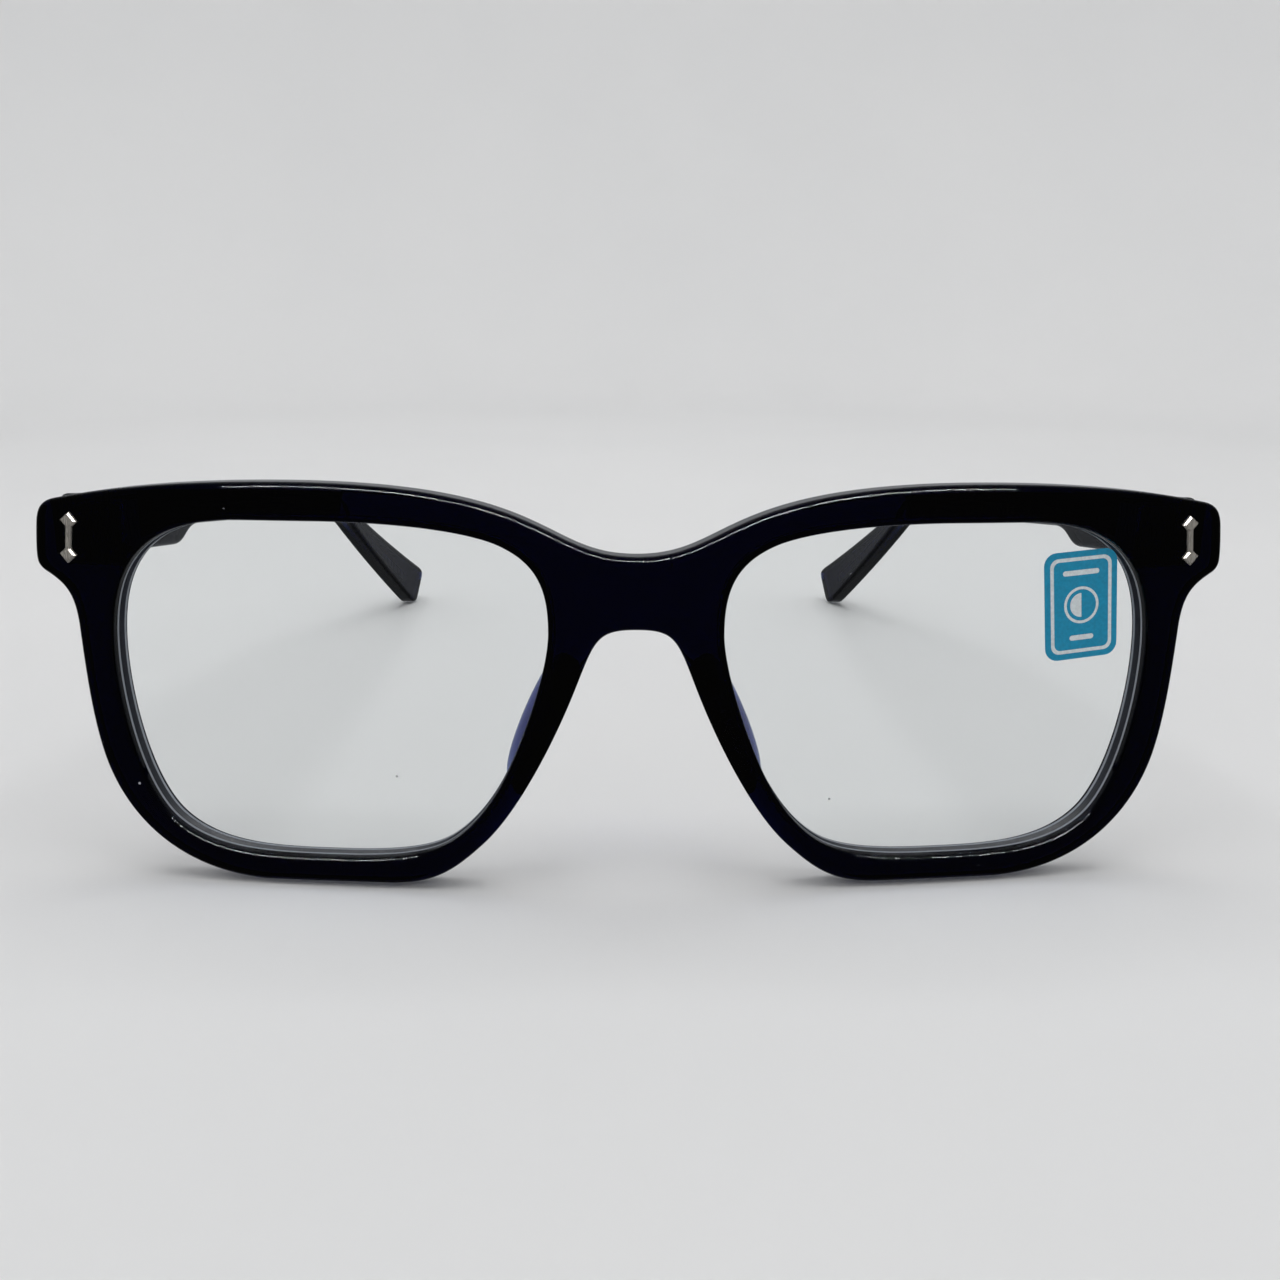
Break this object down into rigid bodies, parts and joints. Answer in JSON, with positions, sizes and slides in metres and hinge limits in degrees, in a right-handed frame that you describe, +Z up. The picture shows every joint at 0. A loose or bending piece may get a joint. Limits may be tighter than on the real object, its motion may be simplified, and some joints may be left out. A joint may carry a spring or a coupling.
{
  "type": "blue light glasses",
  "caption": "Square full-rim acetate glasses with clear blue-filter lenses, arrow rivet shields and temples that fold on screw hinges.",
  "frame": {"origin": "middle of the length and width, on the table that the rims and ear tips stand on", "axes": "+X to the wearer's left, +Y back towards the ears, +Z up from the table"},
  "size_m": [0.1454, 0.1458, 0.0499],
  "materials": {
    "acetate": "polished translucent navy",
    "lens": "clear, coated",
    "label": "printed film",
    "polished_metal": "polished",
    "hinge_metal": "satin"
  },
  "bodies": {
    "frame": {"front": "acetate", "lens_left": "lens", "lens_right": "lens", "lens_label": "label", "nose_pad_left": "acetate", "nose_pad_right": "acetate", "arrow_shield_left": "polished_metal", "arrow_shield_right": "polished_metal", "front_hinge_left": "hinge_metal", "front_hinge_right": "hinge_metal", "hinge_screw_left": "hinge_metal", "hinge_screw_right": "hinge_metal"},
    "left_temple": {"temple_left": "acetate", "temple_core_left": "hinge_metal", "temple_hinge_left": "hinge_metal", "temple_rivet_left_upper": "polished_metal", "temple_rivet_left_lower": "polished_metal"},
    "right_temple": {"temple_right": "acetate", "temple_core_right": "hinge_metal", "temple_hinge_right": "hinge_metal", "temple_rivet_right_upper": "polished_metal", "temple_rivet_right_lower": "polished_metal"}
  },
  "joints": [
    {"name": "fold_left", "type": "hinge", "parent": "frame", "child": "left_temple", "pos_m": [0.06512, -0.0589, 0.04307], "axis": [0, 0.0698, 0.9976], "range_deg": [0, 82]},
    {"name": "fold_right", "type": "hinge", "parent": "frame", "child": "right_temple", "pos_m": [-0.06512, -0.0589, 0.04307], "axis": [0, -0.0698, -0.9976], "range_deg": [0, 74]}
  ]
}
